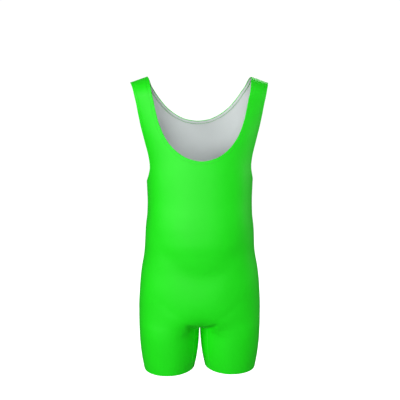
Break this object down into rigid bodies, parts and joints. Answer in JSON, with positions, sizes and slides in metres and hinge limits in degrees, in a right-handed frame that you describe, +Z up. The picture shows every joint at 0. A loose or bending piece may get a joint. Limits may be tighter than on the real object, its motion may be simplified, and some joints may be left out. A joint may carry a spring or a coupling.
{
  "type": "wrestling singlet",
  "caption": "Close-fitting stretch wrestling singlet, filled out and hollow, with wide straps, a deep scooped neck, deep armholes and short legs.",
  "frame": {"origin": "midway between the tops of the two shoulder straps, where the wearer's shoulders hold it up", "axes": "+Z up, the front of the garment faces -Y, +X is the wearer's left"},
  "size_m": [0.384, 0.2323, 0.8521],
  "materials": {
    "front_panel": "matt knit",
    "back_panel": "matt knit",
    "neck_hem": "matt knit, pale inside face",
    "armhole_hem_left": "matt knit, pale inside face",
    "armhole_hem_right": "matt knit, pale inside face"
  },
  "bodies": {
    "root": {"front_panel": "front_panel", "back_panel": "back_panel", "neck_hem": "neck_hem", "armhole_hem_left": "armhole_hem_left", "armhole_hem_right": "armhole_hem_right"}
  },
  "joints": []
}
